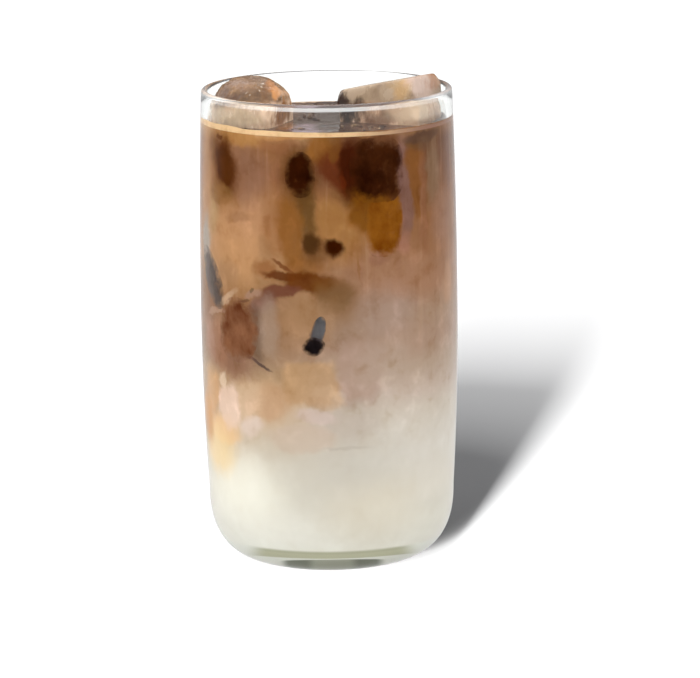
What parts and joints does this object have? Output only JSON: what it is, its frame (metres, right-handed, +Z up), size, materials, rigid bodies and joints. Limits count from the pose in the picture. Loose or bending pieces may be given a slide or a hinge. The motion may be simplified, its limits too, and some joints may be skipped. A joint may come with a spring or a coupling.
{
  "type": "iced latte",
  "caption": "Layered iced coffee and milk in a tall clear tumbler with a rounded heel, with blocks of ice standing out of the drink.",
  "frame": {"origin": "middle of the foot ring, on the table", "axes": "+Z up along the axis of the glass, -Y towards the front"},
  "size_m": [0.0758, 0.0758, 0.1441],
  "materials": {
    "glass": "clear, polished",
    "milk": "cold milk, opaque",
    "coffee": "coffee swirling into milk, opaque",
    "ice": "clouded ice wet with coffee"
  },
  "bodies": {
    "root": {"glass": "glass", "milk_layer": "milk", "coffee_layer": "coffee", "ice_left": "ice", "ice_right": "ice"}
  },
  "joints": []
}
